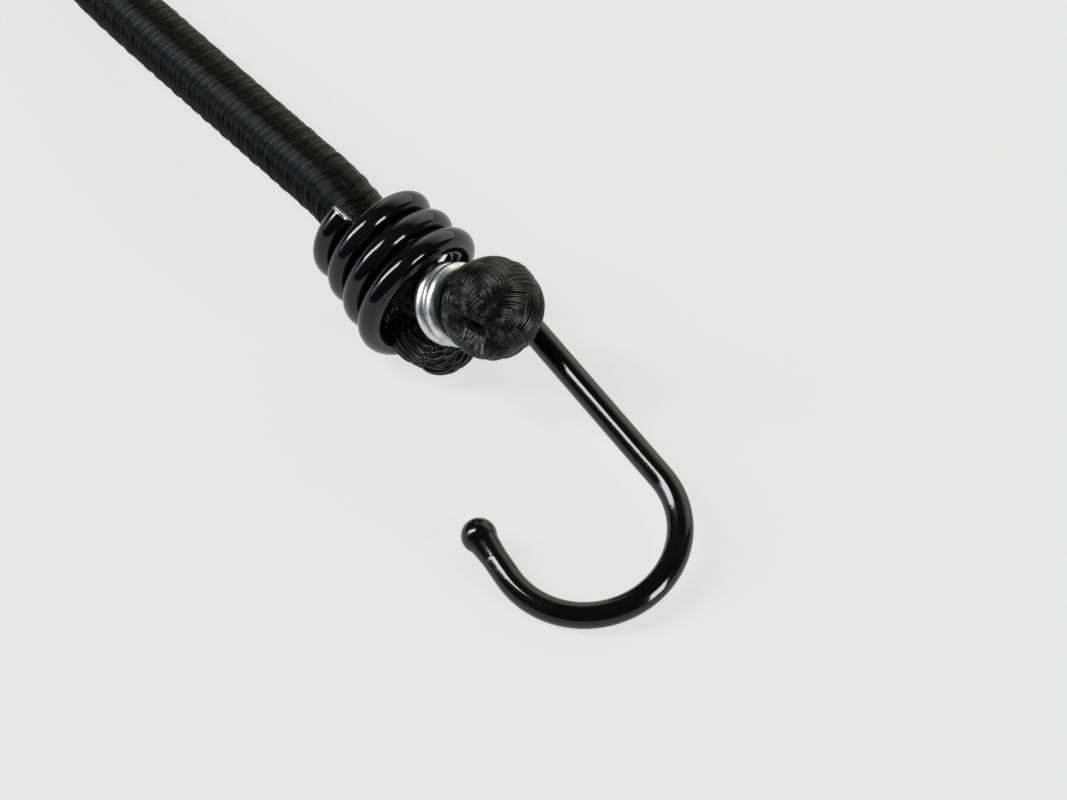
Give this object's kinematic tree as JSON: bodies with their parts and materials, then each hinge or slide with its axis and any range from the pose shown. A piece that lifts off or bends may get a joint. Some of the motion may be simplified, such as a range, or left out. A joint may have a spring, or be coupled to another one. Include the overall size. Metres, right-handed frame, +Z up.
{
  "type": "bungee cord",
  "caption": "Elastic tie-down cord: rubber strands in a black braided sheath, with a coil-wound coated wire hook on each end, stopped by a clamped knob.",
  "frame": {"origin": "on the table under the middle of the cord", "axes": "+X along the cord towards the near hook, +Z up from the table"},
  "size_m": [0.3, 0.0394, 0.0276],
  "materials": {
    "braided_sheath": "matt black braided multifilament yarn",
    "rubber": "natural latex rubber strand",
    "coated_wire": "gloss black coating on steel wire",
    "vinyl_bead": "gloss black moulded vinyl",
    "zinc_wire": "bright zinc-plated round wire"
  },
  "bodies": {
    "cord": {"cord_sheath": "braided_sheath", "rubber_strand_01": "rubber", "rubber_strand_02": "rubber", "rubber_strand_03": "rubber", "rubber_strand_04": "rubber", "rubber_strand_05": "rubber", "rubber_strand_06": "rubber", "rubber_strand_07": "rubber", "rubber_strand_08": "rubber", "rubber_strand_09": "rubber", "rubber_strand_10": "rubber", "rubber_strand_11": "rubber", "rubber_strand_12": "rubber", "rubber_strand_13": "rubber", "rubber_strand_14": "rubber", "rubber_strand_15": "rubber", "rubber_strand_16": "rubber", "rubber_strand_17": "rubber", "rubber_strand_18": "rubber", "rubber_strand_19": "rubber", "far_clip": "zinc_wire", "far_sheath_end": "braided_sheath", "far_rubber_tail": "rubber"},
    "near_end": {"near_clip": "zinc_wire", "near_sheath_end": "braided_sheath", "near_rubber_tail": "rubber"},
    "near_hook": {"near_hook_wire": "coated_wire", "near_hook_bead": "vinyl_bead"},
    "far_hook": {"far_hook_wire": "coated_wire", "far_hook_bead": "vinyl_bead"}
  },
  "joints": [
    {"name": "stretch", "type": "slide", "parent": "cord", "child": "near_end", "axis": [1, 0, 0], "range_m": [0, 0.14], "stiffness_N_per_m": 900, "deforming": ["cord_sheath", "rubber_strand_01", "rubber_strand_02", "rubber_strand_03", "rubber_strand_04", "rubber_strand_05", "rubber_strand_06", "rubber_strand_07", "rubber_strand_08", "rubber_strand_09", "rubber_strand_10", "rubber_strand_11", "rubber_strand_12", "rubber_strand_13", "rubber_strand_14", "rubber_strand_15", "rubber_strand_16", "rubber_strand_17", "rubber_strand_18", "rubber_strand_19"]},
    {"name": "near_hook_swivel", "type": "hinge", "parent": "near_end", "child": "near_hook", "pos_m": [0.08967, 0, 0.01146], "axis": [0.9924, 0, -0.1228], "range_deg": [-75, 0]},
    {"name": "far_hook_swivel", "type": "hinge", "parent": "cord", "child": "far_hook", "pos_m": [-0.08967, 0, 0.01146], "axis": [-0.9924, 0, -0.1228], "range_deg": [-75, 0]}
  ]
}
